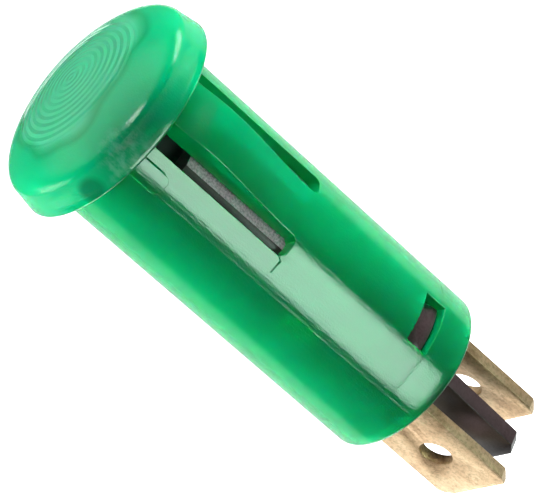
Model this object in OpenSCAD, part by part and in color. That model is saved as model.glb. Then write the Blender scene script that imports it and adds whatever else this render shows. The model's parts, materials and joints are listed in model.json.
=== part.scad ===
// Panel pilot light: a translucent one-piece lens and housing that snaps into a
// round panel hole, a black carrier snapped into its rear, two push-on tabs and a
// neon lamp with its series resistor.
//
// Z runs along the light, out through the lens. Z = 0 is the seating face under the
// head, where the panel bears. The spring tongues are at +Y and -Y, the tabs at
// +X and -X. All sizes are in millimetres.

/* [Head] */
// Diameter of the head where it bears on the panel
head_d = 15.9; // [14.6:0.1:20]
// Diameter of the lens face at the top of the head's tapered side
face_d = 15.4; // [13.6:0.1:19]
// Height of the head's tapered side
side_h = 1.7; // [1.2:0.1:3]
// Rise of the lens dome above the side
dome_h = 2.5; // [1:0.1:4]
// Rounding of the head's rear edge
head_edge_r = 0.2; // [0.05:0.05:0.5]
// Thickness of the lens at its centre
lens_t = 2.0; // [1.4:0.1:2.6]

/* [Lens rings] */
// Number of light-spreading rings moulded on the inner face
ring_count = 10; // [4:1:14]
// Depth of each ring
ring_depth = 0.16; // [0.05:0.01:0.3]

/* [Housing tube] */
// Outer diameter of the tube, a clearance fit in the panel hole
tube_d = 12.4; // [11.9:0.1:13.4]
// Wall thickness of the tube
wall = 1.0; // [0.8:0.05:1.3]
// Length of the tube behind the seating face
tube_len = 27.5; // [26.5:0.5:34]
// Rounding of the tube's rear edge, outside
rim_r = 0.35; // [0.1:0.05:0.5]
// Depth of the wider bore at the rear, which takes the carrier's collar
collar_seat = 2.8; // [2:0.1:4]
// Step in radius from the bore to that wider bore
collar_step = 0.3; // [0.15:0.05:0.4]

/* [Spring tongues] */
// Width of each tongue
tongue_w = 3.6; // [2.8:0.1:4.4]
// Width of the slot on each side of a tongue
slot_w = 1.4; // [1:0.1:1.8]
// Distance from the seating face to the near end of the slots
slot_start = 0.5; // [0.3:0.1:1.5]
// Distance from the seating face to the far end of the slots
slot_end = 12.3; // [10:0.1:14]
// Rounding in the corners of the slots
slot_corner = 0.25; // [0.1:0.05:0.5]
// Height of the tongue's bow above the tube, at its crest
bow_h = 0.65; // [0.5:0.05:0.8]
// Height of the bow at its front, where it bears on the panel's rear edge
bow_front_h = 0.42; // [0.2:0.02:0.46]
// Distance from the seating face to where the bow starts
bow_start = 0.3; // [0.2:0.1:1.4]
// Length of the slope at the front of the bow
bow_lead = 0.2; // [0.1:0.05:0.6]
// Distance from the seating face to the crest of the bow
bow_crest = 3.6; // [2.8:0.1:5]
// Distance from the end of the bow to the far end of the slots
bow_tail = 0.3; // [0.1:0.1:2]

/* [Details of the housing] */
// Depth of the flat relief along the slot by the key
relief_depth = 0.14; // [0.05:0.01:0.3]
// Direction of the flat relief around the tube, in degrees from +X
relief_angle = 59; // [57:1:61]
// Thickness of the locating key beside the slot
key_t = 0.38; // [0.2:0.02:0.6]
// Length of the locating key below the seating face
key_len = 2.9; // [1.5:0.1:4]
// First direction covered by the key, in degrees from +X
key_from = 37; // [33:1:42]
// Last direction covered by the key, in degrees from +X
key_to = 50; // [46:1:56]
// Side of the square pocket under the head
pocket_w = 1.0; // [0.6:0.1:1.1]
// Depth of the square pocket
pocket_depth = 1.1; // [0.5:0.1:1.2]
// Direction of the square pocket, in degrees from +X
pocket_angle = 18; // [10:1:26]
// Length along Z of each catch window
window_len = 1.8; // [1.4:0.1:2.4]
// Width of each catch window
window_w = 3.8; // [3:0.1:4.6]

/* [Carrier] */
// Clearance around each piece that sits inside another
fit_gap = 0.05; // [0.03:0.01:0.08]
// Distance from the tube's rear edge to the carrier's rear face
rear_recess = 0.6; // [0.2:0.1:1.5]
// Height of the carrier's catches above its plug
catch_h = 0.55; // [0.4:0.05:0.7]
// Gap between each catch and the rear edge of its window
catch_gap = 0.2; // [0.05:0.05:0.4]
// Distance from the seating face to the front of the collar's narrower nose
nose_start = 1.2; // [0.6:0.1:2.8]
// Outer diameter of that nose
nose_d = 7; // [6.8:0.1:8.6]
// Distance from the seating face to the front of the carrier's rails
carrier_start = 3.5; // [3:0.1:5]
// Length of the collar that holds the lamp
lamp_collar_len = 4.0; // [3:0.1:5]
// Distance from the seating face to the front of the solid plug
plug_start = 19.5; // [18.5:0.1:20.5]
// Distance between the two flats under the tongues
flats = 9.2; // [8.8:0.1:9.6]
// Width of the open wiring bay between the side rails
bay_w = 6.6; // [5.4:0.1:7.2]

/* [Barrier between the tabs] */
// Thickness of the barrier
barrier_t = 1.15; // [0.8:0.05:1.6]
// Width of the barrier where it leaves the plug
barrier_w = 6.3; // [5.4:0.1:7]
// Width of the barrier near its tip
barrier_tip_w = 5.6; // [4.6:0.1:6.6]
// Distance from the tube's rear edge to the barrier's tip
barrier_reach = 9.3; // [7:0.1:11]
// Size of the chamfers at the barrier's tip
barrier_chamfer = 0.8; // [0.3:0.1:1.2]

/* [Tabs] */
// Width of the push-on tabs
tab_w = 6.3; // [4.8:0.1:6.5]
// Thickness of the tabs
tab_t = 0.8; // [0.5:0.1:0.9]
// Distance from the light's axis to the middle of a tab
tab_x = 2.9; // [2.6:0.05:3]
// Distance from the tube's rear edge to the tabs' tips
tab_reach = 9.4; // [7.5:0.1:11]
// Diameter of the hole in each tab
tab_hole_d = 2.4; // [1.2:0.1:2.6]
// Distance from the tab's tip to the hole's centre
tab_hole_from_tip = 4.4; // [3.5:0.1:5.5]
// Size of the corner chamfers across the tab's tip
tab_chamfer = 0.7; // [0.3:0.1:1]
// Length of the bevels that thin the tab's tip
tab_bevel_len = 0.6; // [0.3:0.1:1]
// Depth of each of those bevels
tab_bevel = 0.2; // [0.1:0.05:0.25]
// Width of a tab's inner tail
tail_w = 3.0; // [2:0.1:4]
// Length of the tail that stands in the wiring bay
tail_len = 2.6; // [2:0.1:3.4]
// Depth of the tab's shoulders inside the plug, from the plug's front
shoulder_depth = 1.2; // [0.8:0.1:2]

/* [Lamp] */
// Diameter of the lamp's glass
lamp_d = 5.2; // [4:0.1:5.6]
// Thickness of the glass
glass_t = 0.45; // [0.3:0.05:0.6]
// Distance from the lens's inner face to the lamp's tip
lamp_tip_gap = 0.4; // [0.2:0.1:1]
// Length of the lamp's glass without its flat seal
lamp_len = 9.7; // [8.5:0.1:10.2]
// Length of the flat seal at the lamp's rear
seal_len = 2.0; // [1.5:0.1:2.5]
// Thickness of the flat seal
seal_t = 1.7; // [1.2:0.1:2.2]
// Distance between the two electrodes
electrode_pitch = 1.8; // [1.4:0.1:2.2]
// Diameter of an electrode
electrode_d = 0.8; // [0.6:0.05:1]
// Length of an electrode
electrode_len = 5.2; // [3:0.1:6]

/* [Resistor and wiring] */
// Diameter of every lead wire
wire_d = 0.5; // [0.4:0.05:0.6]
// Diameter of the resistor over its end caps
cap_d = 1.9; // [1.5:0.1:2]
// Length of each of the resistor's end caps
cap_len = 0.9; // [0.5:0.1:1]
// Diameter of the resistor's coated middle
resistor_d = 1.6; // [1.2:0.1:1.7]
// Length of the resistor over its end caps
resistor_len = 3.6; // [3:0.1:4]
// Thickness of the insulating sleeves
sleeve_t = 0.25; // [0.15:0.05:0.3]

/* [Hidden] */

$fn = 96;
cut = 0.5;                  // how far a cutter runs past what it cuts
arc_steps = 6;              // points on a small rounded edge
curve_steps = 20;           // points on a long curve
wire_sides = 12;            // sides of a bent wire
solder_film = 0.05;         // solder between a wire and what it is soldered to

head_r = head_d / 2;
face_r = face_d / 2;
tube_r = tube_d / 2;
bore_r = tube_r - wall;
seat_r = bore_r + collar_step;
apex_z = side_h + dome_h;
lens_inner_z = apex_z - lens_t;
seat_z = -(tube_len - collar_seat);
tongue_x = tongue_w / 2;
bow_end = slot_end - bow_tail;
slot_far_x = tongue_x + slot_w;
window_top_z = seat_z + window_len;
key_half_w = (tube_r + key_t) * sin((key_to - key_from) / 2);
key_corner = 0.5;
pocket_r = (tube_r + head_r - head_edge_r) / 2;

plug_r = bore_r - fit_gap;
carrier_rear_z = -(tube_len - rear_recess);
carrier_top_z = -carrier_start;
nose_z = -nose_start;
lamp_collar_z = carrier_top_z - lamp_collar_len;
plug_z = -plug_start;
shoulder_z = plug_z - shoulder_depth;
barrier_tip_z = -(tube_len + barrier_reach);

tab_tip_z = -(tube_len + tab_reach);
tab_hole_z = tab_tip_z + tab_hole_from_tip;
tail_top_z = plug_z + tail_len;

lamp_r = lamp_d / 2;
lamp_tip_z = lens_inner_z - lamp_tip_gap;
lamp_rear_z = lamp_tip_z - lamp_len;
seal_rear_z = lamp_rear_z - seal_len;
electrode_y = electrode_pitch / 2;
electrode_foot_z = lamp_rear_z + glass_t + 0.6;
wire_r = wire_d / 2;
cap_wall = 0.25;            // end wall of a resistor cap

// The resistor stands beside its tab's tail, one wire away from the lamp's lead
resistor_x = wire_d + solder_film;
resistor_bottom_z = tail_top_z - 0.2;
resistor_top_z = resistor_bottom_z + resistor_len;
splice_middle_z = (seal_rear_z + resistor_top_z) / 2;
splice_half = 1.3;
tail_inner_x = tab_x - tab_t / 2;
tail_wire_x = tail_inner_x - wire_r - solder_film;
joint_z = plug_z + 1.0;
joint_r = 0.7;
wire_end_z = plug_z + 0.3;

// Points of a quarter round about (r, z), from angle a0 to a1
function arc(r, z, radius, a0, a1, steps = arc_steps) =
    [for (i = [0:steps]) let (a = a0 + (a1 - a0) * i / steps)
        [r + radius * cos(a), z + radius * sin(a)]];

// Height of the tongue's bow at a distance d behind the seating face, beyond its
// front slope: half waves of a cosine up to the crest and down to the slots' far end
function bow(d) =
    d < bow_crest
    ? bow_h - (bow_h - bow_front_h) * (1 + cos(180 * (d - bow_start - bow_lead)
                                                  / (bow_crest - bow_start - bow_lead))) / 2
    : bow_h * (1 + cos(180 * (d - bow_crest) / (bow_end - bow_crest))) / 2;

// One lens ring is a saw tooth that is steep on its outer side
ring_pitch = bore_r / (ring_count + 0.5);
function lens_rings() = concat(
    [[bore_r, lens_inner_z]],
    [for (i = [ring_count:-1:1], side = [0, 1])
        side == 0 ? [i * ring_pitch, lens_inner_z]
                  : [(i - 0.25) * ring_pitch, lens_inner_z + ring_depth]],
    [[0, lens_inner_z]]);

// Half section of the lens and tube, turned about Z
function housing_section() = concat(
    [for (i = [0:curve_steps]) let (a = 90 * (1 - i / curve_steps))
        [face_r * cos(a), side_h + dome_h * sin(a)]],
    arc(head_r - head_edge_r, head_edge_r, head_edge_r, 0, -90),
    [[tube_r, 0]],
    arc(tube_r - rim_r, rim_r - tube_len, rim_r, 0, -90),
    [[seat_r, -tube_len], [seat_r, seat_z], [bore_r, seat_z]],
    lens_rings());

// A rectangle with rounded corners between two corners, in the XY plane
module rounded_rectangle(low, high, radius) {
    size = high - low;
    translate(low + [radius, 0]) square([size[0] - 2 * radius, size[1]]);
    translate(low + [0, radius]) square([size[0], size[1] - 2 * radius]);
    for (x = [low[0] + radius, high[0] - radius], y = [low[1] + radius, high[1] - radius])
        translate([x, y]) circle(radius);
}

// A cutter through the +Y wall, drawn as a rounded rectangle on X and Z
module wall_cutter(low, high, radius) {
    rotate([90, 0, 0])
        translate([0, 0, -(tube_r + bow_h + cut)])
            linear_extrude(height = wall + bow_h + tube_r / 4 + cut)
                rounded_rectangle(low, high, radius);
}

// What the bow adds to the tube, turned about Z and kept to the tongue's width
module tongue_bow() {
    front = bow_start + bow_lead;
    stations = [for (i = [curve_steps:-1:0]) front + (bow_end - front) * i / curve_steps];
    intersection() {
        rotate_extrude()
            polygon(concat(
                [[tube_r, -bow_start], [tube_r - wall / 2, -bow_start],
                 [tube_r - wall / 2, -bow_end]],
                [for (d = stations) [tube_r + bow(d), -d]]));
        translate([-tongue_x, 0, -bow_end])
            cube([tongue_w, tube_d, bow_end - bow_start]);
    }
}

// The locating key: a raised pad on the tube with rounded rear corners
module locating_key() {
    intersection() {
        translate([0, 0, -key_len])
            difference() {
                cylinder(r = tube_r + key_t, h = key_len + head_edge_r);
                translate([0, 0, -cut]) cylinder(r = tube_r - wall / 2, h = key_len + 2 * cut);
            }
        rotate([0, 0, (key_from + key_to) / 2])
            translate([0, 0, -key_len])
                rotate([0, 90, 0])
                    linear_extrude(height = tube_d)
                        rounded_rectangle([-key_len - 1, -key_half_w], [0, key_half_w], key_corner);
    }
}

module lens_housing() {
    color("mediumseagreen")
    difference() {
        union() {
            difference() {
                rotate_extrude() polygon(housing_section());
                // flat relief beside the slot, from the head to the slot's far end
                rotate([0, 0, relief_angle])
                    translate([tube_r - relief_depth, -tube_r, -slot_end])
                        cube([wall, tube_r + slot_w / 2, slot_end]);
            }
            for (turn = [0, 180])
                rotate([0, 0, turn]) tongue_bow();
            locating_key();
        }
        for (turn = [0, 180]) rotate([0, 0, turn]) {
            for (side = [-1, 1])
                wall_cutter([min(side * tongue_x, side * slot_far_x), -slot_end],
                            [max(side * tongue_x, side * slot_far_x), -slot_start], slot_corner);
            wall_cutter([-window_w / 2, seat_z], [window_w / 2, window_top_z], slot_corner / 2);
        }
        // square pocket in the underside of the head
        rotate([0, 0, pocket_angle])
            translate([pocket_r - pocket_w / 2, -pocket_w / 2, -cut])
                cube([pocket_w, pocket_w, pocket_depth + cut]);
    }
}

// Outline of the barrier on Y and Z, tapered and with chamfered tip corners
module barrier() {
    root = barrier_w / 2;
    tip = barrier_tip_w / 2;
    rotate([90, 0, 90])
        translate([0, 0, -barrier_t / 2])
            linear_extrude(height = barrier_t)
                polygon([[-root, carrier_rear_z + cut], [root, carrier_rear_z + cut],
                         [root, carrier_rear_z],
                         [tip, barrier_tip_z + barrier_chamfer],
                         [tip - barrier_chamfer, barrier_tip_z],
                         [barrier_chamfer - tip, barrier_tip_z],
                         [-tip, barrier_tip_z + barrier_chamfer],
                         [-root, carrier_rear_z]]);
}

// A catch that ramps up towards the rear, kept to a little less than the window
module catches() {
    top = window_top_z - fit_gap * 2;
    shoulder = seat_z + catch_gap;
    width = window_w - 8 * fit_gap;
    intersection() {
        rotate_extrude()
            polygon([[plug_r - cut, top], [plug_r, top], [plug_r + catch_h, shoulder + 0.5],
                     [plug_r + catch_h, shoulder], [plug_r - cut, shoulder]]);
        translate([-width / 2, -tube_r, shoulder - cut])
            cube([width, tube_d, window_len + 2 * cut]);
    }
}

module carrier() {
    slot_t = tab_t + 2 * fit_gap;
    color("#3b3134")
    difference() {
        union() {
            // side rails and lamp collar, flattened under the tongues
            intersection() {
                translate([0, 0, plug_z - cut])
                    cylinder(r = plug_r, h = carrier_top_z - plug_z + cut);
                translate([-tube_r, -flats / 2, plug_z - cut])
                    cube([tube_d, flats, carrier_top_z - plug_z + cut]);
            }
            // nose of the lamp collar
            translate([0, 0, carrier_top_z - cut])
                cylinder(d = nose_d, h = nose_z - carrier_top_z + cut);
            // solid plug
            translate([0, 0, seat_z]) cylinder(r = plug_r, h = plug_z - seat_z);
            // collar on the step inside the tube
            translate([0, 0, carrier_rear_z])
                cylinder(r = seat_r - fit_gap, h = seat_z - fit_gap - carrier_rear_z);
            translate([0, 0, seat_z - cut]) cylinder(r = plug_r, h = cut);
            catches();
            barrier();
        }
        // lamp collar's bore
        translate([0, 0, lamp_collar_z - cut])
            cylinder(r = lamp_r + fit_gap, h = nose_z - lamp_collar_z + 2 * cut);
        // wiring bay, open at +X and -X
        translate([-tube_r, -bay_w / 2, plug_z])
            cube([tube_d, bay_w, lamp_collar_z - plug_z]);
        // stepped slots for the tabs
        for (side = [-1, 1]) {
            translate([side * tab_x - slot_t / 2, -tab_w / 2 - fit_gap, carrier_rear_z - cut])
                cube([slot_t, tab_w + 2 * fit_gap, shoulder_z + fit_gap - carrier_rear_z + cut]);
            translate([side * tab_x - slot_t / 2, -tail_w / 2 - fit_gap, shoulder_z - cut])
                cube([slot_t, tail_w + 2 * fit_gap, shoulder_depth + 2 * cut]);
        }
    }
}

// A tab standing on X = 0: outline on Y and Z, thinned at its tip, with its hole
module tab() {
    w = tab_w / 2;
    t = tab_t / 2;
    tail = tail_w / 2;
    difference() {
        intersection() {
            rotate([90, 0, 90])
                translate([0, 0, -t])
                    linear_extrude(height = tab_t)
                        polygon([[-tail, tail_top_z], [-tail, shoulder_z], [-w, shoulder_z],
                                 [-w, tab_tip_z + tab_chamfer * 1.3],
                                 [tab_chamfer - w, tab_tip_z],
                                 [w - tab_chamfer, tab_tip_z],
                                 [w, tab_tip_z + tab_chamfer * 1.3],
                                 [w, shoulder_z], [tail, shoulder_z], [tail, tail_top_z]]);
            rotate([90, 0, 0])
                translate([0, 0, -w - cut])
                    linear_extrude(height = tab_w + 2 * cut)
                        polygon([[-t, tail_top_z], [-t, tab_tip_z + tab_bevel_len],
                                 [tab_bevel - t, tab_tip_z], [t - tab_bevel, tab_tip_z],
                                 [t, tab_tip_z + tab_bevel_len], [t, tail_top_z]]);
        }
        translate([0, 0, tab_hole_z])
            rotate([0, 90, 0]) cylinder(d = tab_hole_d, h = tab_t + 2 * cut, center = true);
    }
}
module tab_right() { color("#d3ae7e") translate([tab_x, 0, 0]) tab(); }
module tab_left() { color("#d3ae7e") translate([-tab_x, 0, 0]) tab(); }

// Half section of the lamp's glass: outside down one side, inside back up
module lamp_glass() {
    inner_r = lamp_r - glass_t;
    front_z = lamp_tip_z - lamp_r;
    color("lightcyan", 0.5)
    difference() {
        union() {
            rotate_extrude()
                polygon(concat(
                    arc(0, front_z, lamp_r, 90, 0, curve_steps),
                    arc(lamp_r - glass_t, lamp_rear_z + glass_t, glass_t, 0, -90),
                    [[0, lamp_rear_z], [0, lamp_rear_z + glass_t]],
                    [[inner_r, lamp_rear_z + glass_t]],
                    arc(0, front_z, inner_r, 0, 90, curve_steps)));
            translate([-seal_t / 2, -lamp_r * 0.85, seal_rear_z])
                cube([seal_t, lamp_r * 1.7, seal_len + glass_t / 2]);
        }
        for (y = [-electrode_y, electrode_y])
            translate([0, y, seal_rear_z - cut]) cylinder(r = wire_r, h = seal_len + glass_t + 2 * cut);
    }
}

module electrode(y) {
    color("silver") translate([0, y, electrode_foot_z]) cylinder(d = electrode_d, h = electrode_len);
}
module electrode_front() { electrode(electrode_y); }
module electrode_rear() { electrode(-electrode_y); }

// A round rod from point a to point b
module rod(a, b, radius) {
    d = b - a;
    translate(a)
        rotate([0, acos(d[2] / norm(d)), atan2(d[1], d[0])])
            cylinder(r = radius, h = norm(d), $fn = 24);
}

// Ring of points round point i of a path, square to the path's direction there
function path_ring(points, i, radius) =
    let (before = points[max(i - 1, 0)], after = points[min(i + 1, len(points) - 1)],
         along = (after - before) / norm(after - before),
         across = cross(along, [0, 1, 0]) / norm(cross(along, [0, 1, 0])),
         up = cross(along, across))
    [for (k = [0:wire_sides - 1]) let (a = 360 * k / wire_sides)
        points[i] + radius * (cos(a) * across + sin(a) * up)];

// A bent wire: rings of points joined into one closed skin
module bent_wire(points, radius) {
    rings = len(points);
    polyhedron(
        points = [for (i = [0:rings - 1]) each path_ring(points, i, radius)],
        faces = concat(
            [[for (k = [0:wire_sides - 1]) k]],
            [for (i = [0:rings - 2], k = [0:wire_sides - 1])
                [i * wire_sides + k, (i + 1) * wire_sides + k,
                 (i + 1) * wire_sides + (k + 1) % wire_sides, i * wire_sides + (k + 1) % wire_sides]],
            [[for (k = [wire_sides - 1:-1:0]) (rings - 1) * wire_sides + k]]));
}

lead_a = [[0, electrode_y, electrode_foot_z], [0, electrode_y, splice_middle_z - splice_half]];
lead_b = [[0, -electrode_y, electrode_foot_z],
          [0, -electrode_y, seal_rear_z - 1],
          [-tail_wire_x, -electrode_y, tail_top_z + 0.4],
          [-tail_wire_x, -electrode_y, wire_end_z]];
resistor_in = [[resistor_x, electrode_y, splice_middle_z + splice_half],
               [resistor_x, electrode_y, resistor_top_z]];
resistor_out = [[resistor_x, electrode_y, resistor_bottom_z],
                [resistor_x, electrode_y, resistor_bottom_z - 0.3],
                [tail_wire_x, electrode_y, joint_z + joint_r + 0.1],
                [tail_wire_x, electrode_y, wire_end_z]];

module lamp_lead_front() { color("silver") rod(lead_a[0], lead_a[1], wire_r); }
module lamp_lead_rear() { color("silver") bent_wire(lead_b, wire_r); }

// The sleeve follows the middle of the rear lead from the seal to the tab's tail
module lead_sleeve() {
    span = lead_b[2] - lead_b[1];
    a = lead_b[1] + 0.08 * span;
    b = lead_b[1] + 0.86 * span;
    color("gainsboro")
    difference() {
        rod(a, b, wire_r + sleeve_t);
        rod(a - 0.1 * span, b + 0.1 * span, wire_r);
    }
}

module resistor_cap(z) {
    color("silver")
    translate([resistor_x, electrode_y, z])
        difference() {
            cylinder(d = cap_d, h = cap_len, $fn = 48);
            children();
        }
}
module resistor_cap_top() {
    resistor_cap(resistor_top_z - cap_len)
        translate([0, 0, -cut]) cylinder(d = resistor_d, h = cap_len + cut - cap_wall, $fn = 48);
}
module resistor_cap_bottom() {
    resistor_cap(resistor_bottom_z)
        translate([0, 0, cap_wall]) cylinder(d = resistor_d, h = cap_len + cut, $fn = 48);
}
module resistor_body() {
    color("wheat")
    translate([resistor_x, electrode_y, resistor_bottom_z + cap_wall])
        cylinder(d = resistor_d, h = resistor_len - 2 * cap_wall, $fn = 48);
}
module resistor_lead_top() { color("silver") rod(resistor_in[0], resistor_in[1], wire_r); }
module resistor_lead_bottom() { color("silver") bent_wire(resistor_out, wire_r); }

// Solder round the two wires that lie side by side
module splice_solder() {
    color("lightgray")
    difference() {
        translate([resistor_x / 2, electrode_y, splice_middle_z - splice_half / 2])
            cylinder(r = wire_d + 0.08, h = splice_half, $fn = 48);
        rod(lead_a[0], lead_a[1], wire_r);
        rod(resistor_in[0], resistor_in[1], wire_r);
    }
}
module splice_sleeve() {
    inner = wire_d + 0.08 + fit_gap;
    color("gainsboro")
    translate([resistor_x / 2, electrode_y, splice_middle_z - splice_half * 0.9])
        difference() {
            cylinder(r = inner + sleeve_t, h = splice_half * 1.8, $fn = 48);
            translate([0, 0, -cut]) cylinder(r = inner, h = splice_half * 1.8 + 2 * cut, $fn = 48);
        }
}

// Solder that holds the end of a lead on the inner face of a tab's tail: half a
// ball against the tail, with the wire's way through it
module tail_solder(side) {
    color("lightgray")
    translate([side * tail_inner_x, side * electrode_y, joint_z])
        difference() {
            intersection() {
                sphere(r = joint_r, $fn = 48);
                translate([side > 0 ? -joint_r : 0, -joint_r, -joint_r])
                    cube([joint_r, 2 * joint_r, 2 * joint_r]);
            }
            translate([-side * (wire_r + solder_film), 0, -2 * joint_r])
                cylinder(r = wire_r, h = 4 * joint_r, $fn = 24);
        }
}
module tail_solder_right() { tail_solder(1); }
module tail_solder_left() { tail_solder(-1); }

lens_housing();
carrier();
tab_right();
tab_left();
lamp_glass();
electrode_front();
electrode_rear();
lamp_lead_front();
lamp_lead_rear();
lead_sleeve();
resistor_body();
resistor_cap_top();
resistor_cap_bottom();
resistor_lead_top();
resistor_lead_bottom();
splice_solder();
splice_sleeve();
tail_solder_right();
tail_solder_left();
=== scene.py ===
# %% [markdown]
# # A panel pilot light
# This lesson dresses a small snap-in indicator light: a green translucent lens and
# barrel moulded in one, a black carrier snapped into its rear, two brass push-on tabs
# and the lamp inside. The measured solids come from the CAD frame, and this script
# gives them their surfaces. Sizes are in metres, and Z runs out through the lens.

# %% Load the measured frame
import json
import math

import bmesh
import bpy
import numpy as np
from mathutils import Matrix, Vector


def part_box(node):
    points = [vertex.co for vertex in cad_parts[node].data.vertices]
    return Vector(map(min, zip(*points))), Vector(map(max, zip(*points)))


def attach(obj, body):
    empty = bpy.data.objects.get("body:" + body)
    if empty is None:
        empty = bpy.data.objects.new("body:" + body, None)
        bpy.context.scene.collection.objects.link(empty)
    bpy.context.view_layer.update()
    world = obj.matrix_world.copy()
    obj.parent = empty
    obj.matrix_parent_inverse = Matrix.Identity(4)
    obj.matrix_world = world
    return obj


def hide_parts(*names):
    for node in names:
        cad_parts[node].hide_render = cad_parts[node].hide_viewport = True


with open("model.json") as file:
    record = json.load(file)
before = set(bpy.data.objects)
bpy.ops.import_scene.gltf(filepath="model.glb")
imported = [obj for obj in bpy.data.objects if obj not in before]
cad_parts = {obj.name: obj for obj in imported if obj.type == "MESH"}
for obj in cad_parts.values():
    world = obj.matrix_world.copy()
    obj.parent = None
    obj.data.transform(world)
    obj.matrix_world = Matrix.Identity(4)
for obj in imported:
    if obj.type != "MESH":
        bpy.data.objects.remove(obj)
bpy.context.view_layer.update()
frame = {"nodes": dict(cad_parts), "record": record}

MM = 0.001
print("CAD nodes:", len(frame["nodes"]))

# %% [markdown]
# ## The camera
# A camera is easiest to place by what it looks at: a point on the light, a distance
# and two angles. The long lens keeps the perspective flat, as is usual for a view of
# a product, and the roll lays the light across the frame from corner to corner.

# %% Camera
AIM = Vector((-0.64, -0.50, -14.43)) * MM
CAMERA_DISTANCE = 219 * MM
CAMERA_AZIMUTH = math.radians(55.59)
CAMERA_ELEVATION = math.radians(25.31)
CAMERA_ROLL = math.radians(-48.5)
LENS_MM = 222.9


def direction(azimuth, elevation):
    """Unit vector at that azimuth (from +X towards +Y) and elevation."""
    return Vector((math.cos(elevation) * math.cos(azimuth),
                   math.cos(elevation) * math.sin(azimuth), math.sin(elevation)))


def facing(back, roll=0.0):
    """Rotation that points -Z away from back with X level, then rolled about back."""
    right = Vector((0, 0, 1)).cross(back).normalized()
    level = Matrix((right, back.cross(right), back)).transposed()
    return (Matrix.Rotation(roll, 3, back) @ level).to_4x4()


back = direction(CAMERA_AZIMUTH, CAMERA_ELEVATION)
camera = bpy.data.objects.new("camera", bpy.data.cameras.new("camera"))
camera.data.lens = LENS_MM
camera.data.sensor_width = 36.0
camera.data.clip_start = 0.01
camera.matrix_world = (Matrix.Translation(AIM + back * CAMERA_DISTANCE)
                       @ facing(back, CAMERA_ROLL))
bpy.context.scene.collection.objects.link(camera)
bpy.context.scene.camera = camera
print("camera at", [round(c / MM, 2) for c in camera.location], "mm")

# %% [markdown]
# ## Helpers for meshes
# Every surface below is an array of corner points. Two quads share an edge when
# their corners coincide, so one helper finds the coinciding points and numbers them.
# That is simpler than keeping indices by hand where a surface has openings.


# %% From loose quads to a mesh
KEYS_PER_MM = 1e4                               # points a tenth of a micron apart are one


def mesh_from_quads(name, corners):
    """Mesh from an array of quads (n, 4, 3) in mm: equal points become one vertex,
    and a quad with two equal neighbours becomes a triangle."""
    keys = np.round(corners.reshape(-1, 3) * KEYS_PER_MM).astype(np.int64)
    _, first, index = np.unique(keys, axis=0, return_index=True, return_inverse=True)
    points = corners.reshape(-1, 3)[first] * MM
    quads = index.reshape(-1, 4)
    same = quads == np.roll(quads, -1, axis=1)
    whole = quads[~same.any(axis=1)]
    single = same.sum(axis=1) == 1
    triangles = [np.delete(quads[single & same[:, k]], k, axis=1) for k in range(4)]
    mesh = bpy.data.meshes.new(name)
    mesh.from_pydata(points.tolist(), [], whole.tolist() + np.concatenate(triangles).tolist())
    work = bmesh.new()
    work.from_mesh(mesh)
    bmesh.ops.recalc_face_normals(work, faces=work.faces)
    if work.calc_volume(signed=True) < 0:
        bmesh.ops.reverse_faces(work, faces=work.faces)
    loose = [e for e in work.edges if len(e.link_faces) != 2]
    volume = work.calc_volume()
    work.to_mesh(mesh)
    work.free()
    print(f"{name}: {len(mesh.vertices)} vertices, {len(loose)} open edges, "
          f"{volume / MM ** 3:.1f} mm3")
    return mesh


# %% Pieces and their rounded edges
def add_piece(name, mesh, slot, *nodes):
    """Object for a finished mesh, riding on the light and standing for CAD nodes."""
    piece = bpy.data.objects.new(name, mesh)
    bpy.context.scene.collection.objects.link(piece)
    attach(piece, "root")
    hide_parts(*nodes)
    mesh.shade_smooth()
    return piece


def bevel(piece, width, angle):
    """Rounds every edge sharper than the angle in degrees, by that width in mm."""
    rounding = piece.modifiers.new("edge rounding", "BEVEL")
    rounding.width = width * MM
    rounding.segments = 2
    rounding.limit_method = "ANGLE"
    rounding.angle_limit = math.radians(angle)
    rounding.harden_normals = True
    rounding.use_clamp_overlap = False


# %% [markdown]
# ## The lens and barrel
# The real piece is one moulding, and light shows every step in its wall, so it is
# made as one closed skin. A profile is carried round the axis: out over the domed
# lens, down the barrel, round the rear edge and back up the bore to the lens rings.
# Its columns follow the edges of the slots, and cells of the grid are raised for the
# key and the tongues, sunk for the pocket, or left out where the wall is open.

# %% Sizes of the lens and barrel, in mm
HEAD_R, FACE_R = 7.95, 7.7                      # head at its widest, and where the dome starts
SIDE_H, DOME_H, HEAD_EDGE = 1.7, 2.5, 0.2       # heights of side and dome, rounding below
LENS_INNER_Z = 2.2                              # height of the lens's inner face
TUBE_R, BORE_R, SEAT_R = 6.2, 5.2, 5.5          # tube outside, bore, and wider rear bore
TUBE_Z, SEAT_Z, RIM = -27.5, -24.7, 0.35        # rear end, start of rear bore, rounding
RING_COUNT, RING_DEPTH = 10, 0.16
SLOT_START, SLOT_END = -0.5, -12.3
TONGUE_X, SLOT_X, WINDOW_X = 1.8, 3.2, 1.9      # half widths
WINDOW_TOP = -22.9
BOW_START, BOW_LEAD, BOW_CREST, BOW_END = 0.3, 0.2, 3.6, 12.0
BOW_FRONT_H, BOW_H = 0.42, 0.65                 # bow after its first slope, and at its crest
KEY_FROM, KEY_TO, KEY_LEN, KEY_T = 37.0, 50.0, 2.9, 0.38
KEY_CORNER, SLOT_CORNER = 0.5, 0.35
LINE_WIDTH, LINE_HEIGHT = 0.07, 0.01            # parting line along the tube
RELIEF_ANGLE, RELIEF_DEPTH = 59.0, 0.14
POCKET_ANGLE, POCKET_W, POCKET_DEPTH = 18.0, 1.0, 1.1
POCKET_R = 6.975

node_low, node_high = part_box("lens_housing")
print("housing in the frame, mm:", [round(v / MM, 2) for v in (*node_low, *node_high)])


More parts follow.
